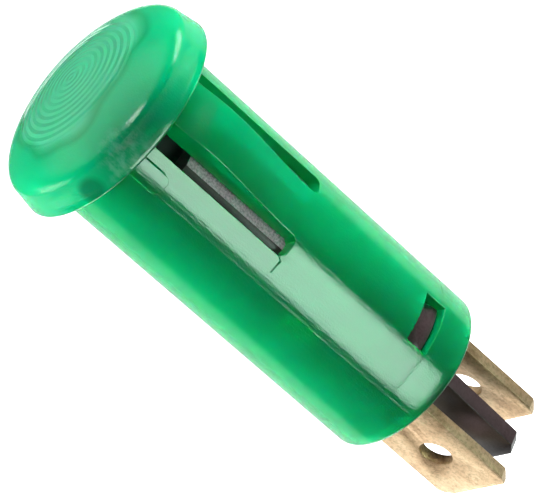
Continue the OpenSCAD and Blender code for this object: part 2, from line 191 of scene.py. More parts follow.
# %% [markdown]
# ### The tongues and the rings
# The two spring tongues are bowed strips of the barrel's wall: they give way when the
# light is pushed into its panel, then grip behind it. The bow could be bent with a
# curve, but a formula says at every point how high it stands, so the columns beside
# it meet it exactly. The lens has fine rings inside that spread the lamp's light.


# %% The tongue's bow and the rings
def bow(d):
    """Height of the tongue's bow at a distance d behind the seat: a short slope, a
    half cosine wave up to the crest, and another down to the slots' far end."""
    front = BOW_START + BOW_LEAD
    slope = BOW_FRONT_H * (d - BOW_START) / BOW_LEAD
    to_crest = (1 + np.cos(np.pi * (d - front) / (BOW_CREST - front))) / 2
    rise = BOW_H - (BOW_H - BOW_FRONT_H) * to_crest
    fall = BOW_H * (1 + np.cos(np.pi * (d - BOW_CREST) / (BOW_END - BOW_CREST))) / 2
    return np.select([d <= BOW_START, d < front, d < BOW_CREST, d < BOW_END],
                     [0 * d, slope, rise, fall], 0 * d)


def inner_rings():
    """Points (r, z) of the lens rings from the bore to the axis: each ring is a steep
    step over a quarter of its pitch and a ramp over the rest."""
    pitch = BORE_R / (RING_COUNT + 0.5)
    i = np.arange(RING_COUNT, 0, -1)
    r = np.column_stack([i, i - 0.25]).ravel() * pitch
    z = LENS_INNER_Z + np.tile([0.0, RING_DEPTH], RING_COUNT)
    return np.column_stack([np.append(r, 0.0), np.append(z, LENS_INNER_Z)])


print("height of the bow at its crest, mm:", float(bow(np.array(BOW_CREST))))

# %% [markdown]
# ### Columns and rows
# A turned shape could be spun from its outline in even steps, but then the edges of
# the slots would cut across the grid's cells. Here the columns are placed first where
# an edge runs, at a constant angle or on a line of constant x, so that the slots'
# walls come out parallel at every radius. The rows follow the outline and have a
# height of their own wherever a slot, the key or a window ends.

# %% Columns round the axis
LINE_ANGLE = math.degrees(LINE_WIDTH / TUBE_R)
POCKET_HALF = 4.11                              # half the pocket's width, in degrees
RELIEF_FROM = RELIEF_ANGLE - math.degrees(math.acos(1 - RELIEF_DEPTH / TUBE_R))
KEY_COLUMNS = [("angle", 0.0),
               ("angle", POCKET_ANGLE - POCKET_HALF), ("angle", POCKET_ANGLE + POCKET_HALF),
               ("angle", KEY_FROM - LINE_ANGLE), ("angle", KEY_FROM),
               ("angle", KEY_FROM + LINE_ANGLE),
               ("angle", RELIEF_FROM), ("angle", KEY_TO),
               ("front", SLOT_X), ("front", TONGUE_X), ("front", -TONGUE_X), ("front", -SLOT_X),
               ("angle", 180.0),
               ("rear", -SLOT_X), ("rear", -TONGUE_X), ("rear", TONGUE_X), ("rear", SLOT_X),
               ("angle", 360.0)]
STEPS = [5, 3, 6, 1, 1, 5, 3, 4, 8, 14, 8, 24, 24, 8, 14, 8, 24]     # columns in each section
C_EDGES = np.cumsum([0] + STEPS)
C_POCKET, C_POCKET_END, C_KEY, C_RELIEF, C_KEY_END, C_SLOT = C_EDGES[[1, 2, 4, 6, 7, 8]]
SLOT_SECTIONS = (8, 13)                         # sections where each pair of slots starts
WIDEN_FROM, WIDEN_OVER = SLOT_END - 1, 6        # where the tongue's line widens, in mm
print("columns:", sum(STEPS), "in", len(STEPS), "sections")


def column_angles(r, z):
    """Angles in radians of all columns, for rows at radius r and height z. The line
    of the tongue's edge widens to the window's edge behind the slots."""
    reach = np.clip(r, BORE_R, TUBE_R + BOW_H)
    widen = np.clip((WIDEN_FROM - z) / WIDEN_OVER, 0, 1) * (WINDOW_X - TONGUE_X)
    keys = []
    for kind, value in KEY_COLUMNS:
        if kind == "angle":
            keys.append(np.full_like(r, math.radians(value)))
            continue
        x = value + np.sign(value) * widen * (abs(value) == TONGUE_X)
        turn = np.arccos(x / reach)
        keys.append(turn if kind == "front" else 2 * np.pi - turn)
    keys = np.stack(keys, axis=1)
    section = np.repeat(np.arange(len(STEPS)), STEPS)
    part = np.concatenate([np.arange(n) / n for n in STEPS])
    angles = keys[:, section] * (1 - part) + keys[:, section + 1] * part
    return np.concatenate([angles, keys[:, -1:]], axis=1)


# %% Rows along the profile
def spread(*stops_and_steps):
    """Heights from stop to stop, each stretch cut into its number of steps."""
    stops, steps = stops_and_steps[::2], stops_and_steps[1::2]
    parts = [np.linspace(a, b, n, endpoint=False) for a, b, n in zip(stops, stops[1:], steps)]
    return np.concatenate(parts + [[stops[-1]]])


def quarter(r, z, radius):
    """Points (r, z) of a quarter circle about a centre, from straight out to straight
    down and without the first: the centre plus the radius times cosine and sine."""
    a = np.radians(np.linspace(0, -90, 6)[1:])
    return np.column_stack([r + radius * np.cos(a), z + radius * np.sin(a)])


# %% The outline, from the top of the dome to the middle of the rings
dome_a = np.radians(np.linspace(90, 0, 41))
dome = np.column_stack([FACE_R * np.cos(dome_a), SIDE_H + DOME_H * np.sin(dome_a)])
side = np.column_stack([np.linspace(FACE_R, HEAD_R, 4), np.linspace(SIDE_H, HEAD_EDGE, 4)])[1:]
edge = quarter(HEAD_R - HEAD_EDGE, HEAD_EDGE, HEAD_EDGE)
seat_radii = np.array([POCKET_R + POCKET_W / 2, TUBE_R + KEY_T])
seat = np.column_stack([seat_radii, 0 * seat_radii])
wall_z = spread(0.0, 1, -BOW_START, 1, SLOT_START, 7, -KEY_LEN, 26,
                -BOW_END, 1, SLOT_END, 12, WINDOW_TOP, 5, SEAT_Z)
rear_z = spread(SEAT_Z, 1, SEAT_Z - LINE_WIDTH, 1, SEAT_Z - 2 * LINE_WIDTH, 3, TUBE_Z + RIM)[1:]
outside = np.column_stack([np.full(len(wall_z), TUBE_R), wall_z])
rear_wall = np.column_stack([np.full(len(rear_z), TUBE_R), rear_z])
rim = quarter(TUBE_R - RIM, TUBE_Z + RIM, RIM)
collar_bore = np.array([[SEAT_R, TUBE_Z], [SEAT_R, SEAT_Z]])
bore = np.column_stack([np.full(len(wall_z), BORE_R), wall_z[::-1]])
bore_end = np.array([[BORE_R, 1.0], [BORE_R, LENS_INNER_Z]])

PROFILE = np.concatenate([dome, side, edge, seat, outside, rear_wall, rim, collar_bore,
                          bore, bore_end, inner_rings()])
ROW_SEAT = len(dome) + len(side) + len(edge)
ROW_WALL = ROW_SEAT + len(seat)
ROW_BORE = len(PROFILE) - len(inner_rings()) - len(bore_end) - 1
print("profile rows:", len(PROFILE))

# %% [markdown]
# ### Raised, sunk and open cells
# Key, tongues, relief and pocket could be joined and cut with Booleans, but those
# leave thin slivers that glitter in clear plastic. Here each cell of the grid has a
# kind instead, which says at what level it lies or that the wall is open there.

# %% Which cells are raised, sunk or open
PLAIN, TONGUE, KEY, RELIEF, POCKET, OPEN, COVERED = range(7)
rows, cols = len(PROFILE) - 1, sum(STEPS)
kind = np.full((rows, cols), PLAIN)


def wall_rows(z_from, z_to):
    """Rows of outside cells between two heights, and the same cells in the bore."""
    a = np.argmin(abs(wall_z - z_from))
    b = np.argmin(abs(wall_z - z_to))
    return slice(ROW_WALL + a, ROW_WALL + b), slice(ROW_BORE - b, ROW_BORE - a)


for first in SLOT_SECTIONS:
    c = C_EDGES[first:first + 4]
    kind[wall_rows(-BOW_START, SLOT_END)[0], c[1]:c[2]] = TONGUE
    out_rows, in_rows = wall_rows(SLOT_START, SLOT_END)
    for a, b in ((c[0], c[1]), (c[2], c[3])):
        kind[out_rows, a:b] = kind[in_rows, a:b] = OPEN
    out_rows, in_rows = wall_rows(WINDOW_TOP, SEAT_Z)
    kind[out_rows, c[1]:c[2]] = kind[in_rows, c[1]:c[2]] = OPEN
kind[wall_rows(0.0, SLOT_END)[0], C_RELIEF:C_SLOT] = RELIEF
kind[wall_rows(0.0, -KEY_LEN)[0], C_KEY:C_KEY_END] = KEY
kind[ROW_SEAT + 1, C_KEY:C_KEY_END] = COVERED
kind[ROW_SEAT, C_POCKET:C_POCKET_END] = POCKET
print("open cells:", int((kind == OPEN).sum()))


# %% [markdown]
# ### Rounded corners
# A mould is milled with round cutters, so the key and the slots end in small
# quarter circles. Instead of cutting new corners, the rows nearest each end are
# bent towards the corner's curve, which keeps the grid whole.


# %% Rounded corners of the key and the slots
KEY_FADE = 1.7                                  # how far the lift reaches, in mm
SLOT_FADE_ABOVE, SLOT_FADE_BELOW = 2.0, 1.4


def corner_lift(distance, radius):
    """How far a square end is drawn in beside a side wall to round its corner: the
    radius less the height of a quarter circle, and nothing beyond the radius."""
    inside = np.clip(radius - distance, 0, radius)
    return radius - np.sqrt(radius ** 2 - inside ** 2)


def lifted(z, angles):
    """Lift of the wall's points that rounds the ends of key and slots. It is full at
    the end's own row and fades away over two corner radii and more."""
    def fade(end, above, below):
        """1 at the end's own row, falling to 0 over a distance above and below it."""
        return np.clip(np.minimum(1 + (end - z) / above, 1 + (z - end) / below), 0, 1)[:, None]

    across = TUBE_R * angles
    key_edges = TUBE_R * np.radians([KEY_FROM, KEY_TO])
    from_key = np.abs(across[..., None] - key_edges).min(axis=-1)
    inside_key = (across >= key_edges[0] - 1e-9) & (across <= key_edges[1] + 1e-9)
    lift = np.where(inside_key, corner_lift(from_key, KEY_CORNER), 0)
    lift *= fade(-KEY_LEN, KEY_FADE, KEY_FADE)
    x = np.abs(TUBE_R * np.cos(angles))
    from_slot = np.minimum(np.abs(x - TONGUE_X), np.abs(x - SLOT_X))
    inside_slot = (x >= TONGUE_X - 1e-9) & (x <= SLOT_X + 1e-9)
    slot_lift = np.where(inside_slot, corner_lift(from_slot, SLOT_CORNER), 0)
    return lift + slot_lift * fade(SLOT_END, SLOT_FADE_ABOVE, SLOT_FADE_BELOW)


# %% The skin's points
FLAT_REACH = 0.3                                # radians, past which the flat has left the tube


def column(values):
    """Values of the rows as one column, to spread over all columns of the grid."""
    return values[:, None]


def quad(*corners):
    """Quads (..., 4, 3) from four arrays of corner points."""
    return np.stack(corners, axis=-2)


def housing_points():
    """Corner points of every kind of cell: (r cos a, r sin a, z), where r is the
    profile's radius, plus the bow, plus the key, or the distance to the flat."""
    r, z = PROFILE.T
    head = np.arange(len(r)) < ROW_WALL
    reach = np.where(head, TUBE_R, r)
    on_wall = np.zeros(len(r))
    on_wall[ROW_WALL:ROW_WALL + len(wall_z)] = 1
    in_bore = (np.arange(len(r)) >= ROW_BORE - len(wall_z) + 1) & (np.arange(len(r)) <= ROW_BORE)
    lift = lifted(z, column_angles(np.full(len(r), TUBE_R), z))
    lift *= np.maximum(on_wall, in_bore)[:, None]

    def turned(radius, height, angles):
        """Points at those radii, heights and angles, with the corners' lift."""
        return np.stack([radius * np.cos(angles), radius * np.sin(angles),
                         np.broadcast_to(height, angles.shape) + lift], axis=-1)

    plain_a = column_angles(reach, z)
    bowed = r + bow(-z) * on_wall
    bowed_a = column_angles(np.where(head, TUBE_R, bowed), z)
    keyed = r + KEY_T * on_wall
    flat_r = TUBE_R - RELIEF_DEPTH
    flat_a = column_angles(np.where(on_wall > 0, flat_r, reach), z)
    off_middle = np.clip(flat_a - math.radians(RELIEF_ANGLE), -FLAT_REACH, FLAT_REACH)
    flat = flat_r / np.cos(off_middle)
    plain = column(r) + np.zeros_like(plain_a)
    plain[ROW_SEAT + 1, :C_POCKET_END + 1] = POCKET_R - POCKET_W / 2
    behind_key = (on_wall > 0) & (z <= -KEY_LEN) | (z < SEAT_Z) & (r == TUBE_R)
    # the parting line stands proud, and the seam near the rear end is a faint groove
    plain[behind_key, C_KEY] += LINE_HEIGHT
    plain[(z == SEAT_Z - LINE_WIDTH) & (r == TUBE_R)] -= LINE_HEIGHT / 3
    levels = np.stack([
        turned(plain, column(z), plain_a),
        turned(column(bowed), column(z), bowed_a),
        turned(column(keyed), column(z), column_angles(np.where(head, TUBE_R, keyed), z)),
        turned(np.minimum(flat, TUBE_R), column(z), flat_a),
        turned(plain, column(z + POCKET_DEPTH), plain_a)])
    # neighbours share one point where the relief meets the seat or the slot, and
    # where the tongue's edges meet the near end of the slots
    slot_rows = slice(ROW_WALL, wall_rows(0.0, SLOT_END)[0].stop + 1)
    levels[PLAIN, ROW_WALL, C_KEY_END:C_SLOT] = levels[RELIEF, ROW_WALL, C_KEY_END:C_SLOT]
    levels[PLAIN, slot_rows, C_SLOT] = levels[RELIEF, slot_rows, C_SLOT]
    near_end = wall_rows(SLOT_START, SLOT_END)[0].start
    tongue_edges = [C_EDGES[first + k] for first in SLOT_SECTIONS for k in (1, 2)]
    levels[PLAIN, near_end, tongue_edges] = levels[TONGUE, near_end, tongue_edges]
    return levels


# %% The skin's faces
def housing_quads():
    """All quads of the skin: the cells, a wall where two neighbouring cells stand
    at different heights, and a wall through the tube round each opening."""
    grid = housing_points()
    i, j = np.meshgrid(np.arange(rows), np.arange(cols), indexing="ij")
    level = np.where(kind > POCKET, PLAIN, kind)
    corner = quad(grid[level, i, j], grid[level, i + 1, j],
                  grid[level, i + 1, j + 1], grid[level, i, j + 1])
    solid = kind < OPEN
    quads = [corner[solid]]
    below = quad(corner[:-1, :, 1], corner[:-1, :, 2], corner[1:, :, 3], corner[1:, :, 0])
    quads.append(below[solid[:-1] & solid[1:]])
    next_corner, next_solid = np.roll(corner, -1, axis=1), np.roll(solid, -1, axis=1)
    beside = quad(corner[:, :, 3], corner[:, :, 2], next_corner[:, :, 1], next_corner[:, :, 0])
    quads.append(beside[solid & next_solid])
    # walls of the openings, from the outside cells to the bore
    for k in range(len(wall_z) - 1):
        outer, inner = ROW_WALL + k, ROW_BORE - k - 1
        is_open = kind[outer] == OPEN
        high, low = grid[PLAIN, inner + 1], grid[PLAIN, inner]
        above = is_open & solid[outer - 1]
        quads.append(quad(corner[outer - 1, :, 1], corner[outer - 1, :, 2],
                          high[1:], high[:-1])[above])
        under = is_open & solid[outer + 1]
        quads.append(quad(corner[outer + 1, :, 0], corner[outer + 1, :, 3],
                          low[1:], low[:-1])[under])
        left = is_open & np.roll(solid[outer], 1)
        before = np.roll(corner[outer], 1, axis=0)
        quads.append(quad(before[:, 3], before[:, 2], low[:-1], high[:-1])[left])
        right = is_open & np.roll(solid[outer], -1)
        after = np.roll(corner[outer], -1, axis=0)
        quads.append(quad(after[:, 0], after[:, 1], low[1:], high[1:])[right])
    return np.concatenate(quads)


housing = add_piece("pilot_lens_barrel", mesh_from_quads("pilot_lens_barrel", housing_quads()),
                    "green_lens", "lens_housing")
bevel(housing, 0.06, 30)

# %% [markdown]
# ## The carrier and the tabs
# These are straight-sided pieces, and the CAD solids already have their exact form.
# A copy of each solid is cleaned of its loose triangles and gets softly rounded
# edges, which a real moulding or a stamped strip always has.


# %% Copies of the straight-sided solids
MERGE_MM, SAME_PLANE, SOFT_EDGE = 0.002, 0.5, 0.05      # mm, degrees, mm


def rounded_copy(node, name, slot):
    """Copy of a CAD solid with shared vertices and flat faces made whole, and with
    its edges rounded."""
    mesh = frame["nodes"][node].data.copy()
    mesh.name = name
    work = bmesh.new()
    work.from_mesh(mesh)
    bmesh.ops.remove_doubles(work, verts=work.verts, dist=MERGE_MM * MM)
    bmesh.ops.dissolve_limit(work, angle_limit=math.radians(SAME_PLANE),
                             verts=work.verts, edges=work.edges)
    work.to_mesh(mesh)
    work.free()
    mesh.materials.clear()
    piece = add_piece(name, mesh, slot, node)
    bevel(piece, SOFT_EDGE, 35)
    print(f"{name}: {len(mesh.vertices)} vertices, {len(mesh.polygons)} faces")
    return piece


carrier = rounded_copy("carrier", "pilot_carrier", "black_plastic")
tab_right = rounded_copy("tab_right", "pilot_tab_right", "tab_brass")
tab_left = rounded_copy("tab_left", "pilot_tab_left", "tab_brass")

# %% [markdown]
# ### Finishes of the carrier's faces
# The flats under the tongues come from a spark-eroded part of the mould and are grainy;
# their pale, pinkish grey is partly painted light: the band light's highlight and a pink
# cast against the green light from the walls. The nose round the lamp is painted matt
# and nearly pure black as painted shade. Both belong to one moulding, so the faces are
# told apart by where they lie instead of being cut off as pieces of their own.

# %% Which finish each face has
FLAT_Y, NOSE_R, NOSE_TOP = 4.6, 3.6, -3.4       # in mm


def face_finishes(mesh):
    """Finish number of each face: 1 on the two flats, 2 on the nose, else 0."""
    middle = np.empty(len(mesh.polygons) * 3)
    normal = np.empty_like(middle)
    mesh.polygons.foreach_get("center", middle)
    mesh.polygons.foreach_get("normal", normal)
    x, y, z = middle.reshape(-1, 3).T / MM
    on_flat = (abs(normal.reshape(-1, 3)[:, 1]) > 0.98) & (abs(abs(y) - FLAT_Y) < 0.02)
    on_nose = (np.hypot(x, y) < NOSE_R) & (z > NOSE_TOP)
    return on_flat * 1 + on_nose * 2


finish_numbers = face_finishes(carrier.data).astype(np.int32)
print("carrier faces: flats", (finish_numbers == 1).sum(), "nose", (finish_numbers == 2).sum())

# %% [markdown]
# ## Materials
# Each finish is a small node graph on one Principled shader. Patterns are read from
# Object coordinates, which are metres here, so their scales are counts per metre: a
# scale of 5000 gives grains a fifth of a millimetre across. A painted picture would
# need unwrapped surfaces, and nodes give the same grain on all sides without it.


# %% Helpers for node graphs
def new_material(name, **inputs):
    """Material with a Principled shader, its sockets set by name."""
    material = bpy.data.materials.new(name)
    material.use_nodes = True
    shader = material.node_tree.nodes["Principled BSDF"]
    for socket, value in inputs.items():
        shader.inputs[socket.replace("_", " ")].default_value = value
    return material, shader


def graph(material, kind, links=(), **settings):
    """New node, its settings or sockets set by name, with (socket, output) links."""
    tree = material.node_tree
    node = tree.nodes.new(kind)
    for key, value in settings.items():
        if hasattr(node, key):
            setattr(node, key, value)
        else:
            node.inputs[key.replace("_", " ")].default_value = value
    for socket, output in links:
        tree.links.new(output, node.inputs[socket])
    return node


def feed(material, node, sources):
    """Feeds sockets from outputs, or sets them to plain values."""
    for socket, source in sources:
        if isinstance(source, bpy.types.NodeSocket):
            material.node_tree.links.new(source, node.inputs[socket])
        elif source is not None:
            node.inputs[socket].default_value = source


def connect(material, shader, **sources):
    """Links outputs to the shader's sockets by name."""
    for socket, output in sources.items():
        material.node_tree.links.new(output, shader.inputs[socket.replace("_", " ")])


# %% Helpers for arithmetic and colour
def calculate(material, operation, first, second=None):
    """One step of arithmetic on outputs or plain numbers."""
    node = graph(material, "ShaderNodeMath", operation=operation)
    feed(material, node, ((0, first), (1, second)))
    return node.outputs["Value"]


def measure(material, operation, first, second=None):
    """Number from vectors: a length, a distance or a dot product."""
    node = graph(material, "ShaderNodeVectorMath", operation=operation)
    feed(material, node, ((0, first), (1, second)))
    return node.outputs["Value"]


def remap(material, value, low, high, out_low, out_high):
    """Value carried from one range to another, kept inside it."""
    return graph(material, "ShaderNodeMapRange", [("Value", value)], From_Min=low,
                 From_Max=high, To_Min=out_low, To_Max=out_high).outputs[0]


def mix_colours(material, factor, first, second, blend="MIX"):
    """Colour mixed from first to second by a factor."""
    node = graph(material, "ShaderNodeMix", data_type="RGBA", blend_type=blend)
    feed(material, node, ((0, factor), (6, first), (7, second)))
    return node.outputs[2]


def ramp(material, value, *stops):
    """Colour ramp over a value: (position, colour) stops."""
    node = graph(material, "ShaderNodeValToRGB", [("Fac", value)])
    elements = node.color_ramp.elements
    while len(elements) < len(stops):
        elements.new(0.5)
    for element, (position, colour) in zip(elements, stops):
        element.position = position
        element.color = (*colour, 1.0)
    return node.outputs["Color"]


# %% Helpers for patterns and relief
def coordinates(material, scale=(1, 1, 1)):
    """Object coordinates, stretched."""
    where = graph(material, "ShaderNodeTexCoord")
    mapped = graph(material, "ShaderNodeMapping", [("Vector", where.outputs["Object"])])
    mapped.inputs["Scale"].default_value = scale
    return mapped.outputs["Vector"]


def noise(material, vector, scale, detail, roughness=0.5):
    """Value of a noise pattern, 0 to 1."""
    return graph(material, "ShaderNodeTexNoise", [("Vector", vector)],
                 Scale=scale, Detail=detail, Roughness=roughness).outputs[0]


def bump(material, height, depth, strength, normal=None):
    """Bump of that depth in mm, on top of another one where it is given."""
    links = [("Height", height)] + ([("Normal", normal)] if normal else [])
    return graph(material, "ShaderNodeBump", links, Strength=strength,
                 Distance=depth * MM).outputs["Normal"]


# %% [markdown]
# ## Green translucent plastic
# Lens and barrel are clear plastic with a green tint and a little cloud in it. Light
# passes the thin barrel and is scattered in the thick head, so the barrel gets the
# larger share of transmission and the head the larger share of soft scattering. An
# absorbing volume would be truer, but it renders slowly and doesn't export.

# %% Places on the plastic
HEAD_FROM, HEAD_TO = -0.5 * MM, 0.5 * MM        # heights where the barrel becomes the head
LENS_EDGE = 5.2 * MM                            # radius of the bore seen through the lens
RING_PITCH = BORE_R / (RING_COUNT + 0.5) * MM
# centre of the painted shade over the pocket, where the main view sees it
POCKET_SHADE_CENTRE = (7.3 * MM, 3.0 * MM, 0.75 * MM)
# centre of a pale patch of painted light on the head's side above the key
PAINTED_LIGHT_PATCH = (5.45 * MM, 5.75 * MM, 0.9 * MM)
CLOUDS, WAVES, STREAKS, LIGHT_PATCH_NOISE, GRAIN = 220, 180, 5200, 2600, 8500      # per metre

green, shader = new_material("green translucent plastic", IOR=1.5,
                             Subsurface_Weight=1.0, Subsurface_Scale=0.0004)
shader.inputs["Subsurface Radius"].default_value = (0.1, 1.0, 0.5)
space = coordinates(green)
parts = graph(green, "ShaderNodeSeparateXYZ", [("Vector", space)]).outputs
flat = graph(green, "ShaderNodeCombineXYZ", [("X", parts["X"]), ("Y", parts["Y"])])
radius = measure(green, "LENGTH", flat.outputs[0])
in_head = remap(green, parts["Z"], HEAD_FROM, HEAD_TO, 0.0, 1.0)
print("spacing of the lens rings, mm:", round(RING_PITCH / MM, 3))

# %% Colours of the barrel, and the lens with painted sheen and shade
# Painted sheen makes the middle of the lens paler, and painted shade draws a darker line
# that wavers a little where the bore's edge lies under the lens.
cloud = noise(green, space, CLOUDS, 2)
barrel_colour = ramp(green, cloud, (0.3, (0.0, 0.46, 0.17)), (0.7, (0.0, 0.55, 0.21)))
waver = remap(green, noise(green, space, WAVES, 1), 0.3, 0.7, -0.7 * MM, 0.7 * MM)
past_edge = remap(green, calculate(green, "ADD", radius, waver),
                  LENS_EDGE - 0.4 * MM, LENS_EDGE + 0.8 * MM, 0.0, 1.0)
lens_colour_with_painted_sheen_and_shade = ramp(green, past_edge, (0.0, (0.06, 0.46, 0.25)), (0.4, (0.02, 0.36, 0.16)),
                   (0.65, (0.0, 0.31, 0.12)), (1.0, (0.0, 0.4, 0.17)))
body_colour = mix_colours(green, in_head, barrel_colour, lens_colour_with_painted_sheen_and_shade)
print("green plastic so far:", len(green.node_tree.nodes), "nodes")

# %% [markdown]
# ### Rings, painted pocket shade and painted light
# The cloudy head hides most of the rings and of the square pocket behind its side.
# The rings are given to the surface as a very low relief at the same spacing, and the
# pocket as painted shade: a darker spot on the head's side. The spot lies a little
# round from the pocket, where the main view meets it through the plastic.
# Above the key a pale patch of painted light, broken up by noise, makes the head's side lighter.

# %% Relief of the rings
wave = calculate(green, "PINGPONG", radius, RING_PITCH / 2)
crest = remap(green, wave, 0.0, RING_PITCH / 2, 0.0, 1.0)
inside_edge = remap(green, radius, 4.7 * MM, 5.2 * MM, 1.0, 0.0)
rings = calculate(green, "MULTIPLY", inside_edge, crest)
rings = calculate(green, "MULTIPLY", rings, in_head)
print("rings inside, mm:", LENS_EDGE / MM)

# %% Painted shade over the pocket, and painted light above the key
from_pocket = measure(green, "DISTANCE", space, POCKET_SHADE_CENTRE)
painted_pocket_shade = remap(green, from_pocket, 0.6 * MM, 1.1 * MM, 0.6, 0.0)
# painted shade: a darker spot on the head's side over the pocket
body_colour = mix_colours(green, painted_pocket_shade, body_colour, (0.0, 0.08, 0.03, 1))
from_patch = measure(green, "DISTANCE", space, PAINTED_LIGHT_PATCH)
near_patch = remap(green, from_patch, 0.6 * MM, 2.2 * MM, 1.0, 0.0)
light_patch_noise = noise(green, coordinates(green, (1, 1, 0.5)), LIGHT_PATCH_NOISE, 3, 0.6)
painted_light_mask = calculate(green, "MULTIPLY", near_patch, remap(green, light_patch_noise, 0.4, 0.65, 0.0, 0.7))
# painted light: the head's side above the key is made paler, broken up by noise
body_colour = mix_colours(green, painted_light_mask, body_colour, (0.22, 0.7, 0.48, 1))
print("with rings, pocket and painted_lit_patch:", len(green.node_tree.nodes), "nodes")

# %% The green plastic put together
# Long fine streaks come from the pull of the mould, and the short grain from its skin.
streaks = noise(green, coordinates(green, (1, 1, 0.15)), STREAKS, 2)
grain = noise(green, space, GRAIN, 1)
relief = bump(green, grain, 0.008, 1.0, bump(green, streaks, 0.008, 1.0))
connect(green, shader, Base_Color=body_colour,
        Transmission_Weight=remap(green, parts["Z"], HEAD_FROM, HEAD_TO, 0.76, 0.5),
        Roughness=remap(green, streaks, 0.35, 0.7, 0.07, 0.13),
        Normal=bump(green, rings, 0.05, 1.0, relief))
housing.data.materials.append(green)
print("green plastic:", len(green.node_tree.nodes), "nodes")

# %% [markdown]
# ## Black plastic
# The carrier is a cheap black moulding: brown-black where it is smooth, grey where
# the mould was eroded with painted highlight lightening that grey, and painted near pure
# black with almost no gloss deep inside, as painted shade. One recipe with other
# colours, gloss and grain gives all three, so they keep looking like one material.


# %% Black plastic in three finishes
def black_plastic(name, low, high, roughness, grain_depth):
    """Black moulding with a fine grain between two colours and a spread of gloss."""
    black, shader = new_material(name, IOR=1.5)
    grain = noise(black, coordinates(black), 6500, 3)
    cloud = noise(black, coordinates(black), 500, 2)
    connect(black, shader, Base_Color=ramp(black, grain, (0.35, low), (0.65, high)),
            Roughness=remap(black, cloud, 0.3, 0.7, roughness - 0.06, roughness + 0.06),
            Normal=bump(black, grain, grain_depth, 0.6))
    return black


# the flats' colours are partly painted highlight, and the nose's colours are painted shade
for name, low, high, roughness, grain_depth in (
        ("black moulded plastic", (0.022, 0.014, 0.014), (0.034, 0.024, 0.025), 0.34, 0.006),
        ("eroded flats with painted highlight", (0.32, 0.19, 0.25), (0.68, 0.43, 0.56), 0.5, 0.03),
        ("nose with painted shade", (0.003, 0.001, 0.002), (0.006, 0.003, 0.005), 0.8, 0.006)):
    carrier.data.materials.append(black_plastic(name, low, high, roughness, grain_depth))
carrier.data.polygons.foreach_set("material_index", finish_numbers)
print("carrier finishes:", len(carrier.data.materials))

# %% [markdown]
# ## Brass
# The tabs are punched from rolled brass strip. Rolling leaves fine streaks along the
# strip, age leaves brown stains, and punching leaves torn, dimpled edges. The edges
# are the faces that look along Y, so the surface normal says where the dimples go.

# %% Streaks, stains and sheared edges
brass, shader = new_material("rolled brass", Metallic=0.9)
space = coordinates(brass)
streaks = noise(brass, coordinates(brass, (1, 1, 0.08)), 5200, 3, 0.6)
speckle = noise(brass, space, 3800, 4, 0.7)
stain = noise(brass, space, 420, 5, 0.65)
normal = graph(brass, "ShaderNodeTexCoord").outputs["Normal"]
along_y = graph(brass, "ShaderNodeSeparateXYZ", [("Vector", normal)]).outputs["Y"]
sheared = remap(brass, calculate(brass, "ABSOLUTE", along_y), 0.6, 0.9, 0.0, 1.0)
dimples = noise(brass, coordinates(brass, (1, 1, 0.6)), 2300, 2, 0.6)
torn = calculate(brass, "MULTIPLY", dimples, sheared)
print("brass so far:", len(brass.node_tree.nodes), "nodes")

# %% The brass put together
stained = ramp(brass, stain, (0.3, (0.52, 0.33, 0.18)), (0.45, (0.72, 0.5, 0.29)),
               (0.65, (0.82, 0.62, 0.38)))
specks = ramp(brass, speckle, (0.3, (0.5, 0.45, 0.4)), (0.55, (1, 1, 1)))
relief = bump(brass, speckle, 0.02, 0.6, bump(brass, streaks, 0.02, 0.5))
connect(brass, shader, Base_Color=mix_colours(brass, 0.8, stained, specks, "MULTIPLY"),
        Roughness=remap(brass, streaks, 0.3, 0.7, 0.4, 0.58),
        Normal=bump(brass, torn, 0.12, 0.8, relief))
tab_right.data.materials.append(brass)
tab_left.data.materials.append(brass)
print("brass:", len(brass.node_tree.nodes), "nodes")

# %% [markdown]
# ## Inner finishes
# Lamp, resistor, leads and sleeves sit inside and hardly show, so their CAD solids
# are used as they are. Each slot still gets its own colour and a little unevenness,
# because the part can be opened or cut for another use.

# %% Inner finishes
WIRE = (0.72, 0.72, 0.72, 1)
INNER = {
    "lamp_glass": ("clear lamp glass", dict(Base_Color=(0.9, 0.95, 0.95, 1), Roughness=0.05,
                                            Transmission_Weight=1.0)),
    "nickel": ("nickel", dict(Base_Color=(0.62, 0.6, 0.56, 1), Metallic=1.0, Roughness=0.3)),
    "tinned_wire": ("tinned wire", dict(Base_Color=WIRE, Metallic=1.0, Roughness=0.3)),
    "sleeving": ("sleeving", dict(Base_Color=(0.6, 0.57, 0.48, 1), Roughness=0.5)),
    "resistor_coat": ("resistor lacquer", dict(Base_Color=(0.5, 0.36, 0.18, 1), Roughness=0.3)),
    "solder": ("solder", dict(Base_Color=(0.6, 0.6, 0.62, 1), Metallic=1.0, Roughness=0.4)),
}
FINISH = {}
for slot_name, (title, sockets) in INNER.items():
    material, shader = new_material(title, **sockets)
    speckle = noise(material, coordinates(material), 3000, 2)
    base = sockets["Roughness"]
    connect(material, shader,
            Roughness=remap(material, speckle, 0.3, 0.7, base * 0.8, base * 1.3),
            Normal=bump(material, speckle, 0.004, 0.4))
    FINISH[slot_name] = material
for row in frame["record"]["subparts"]:
    if row["material_slot"] in FINISH:
        inner = frame["nodes"][row["node"]]
        inner.data.materials.clear()
        inner.data.materials.append(FINISH[row["material_slot"]])
        inner.data.shade_smooth()
print("materials:", len(bpy.data.materials))

# %% [markdown]
# ## Floor and cards
# A pale floor far below gives a clean ground. In a studio, dark and grey cards are
# laid round a glossy thing, out of view: the dark one draws the deep tones beside the
# bright band, and the grey one tames the pale edges. The camera doesn't see them.

# %% Floor
HALF, FLOOR_Z = 1.5, -0.28                      # half its width and its height, in metres


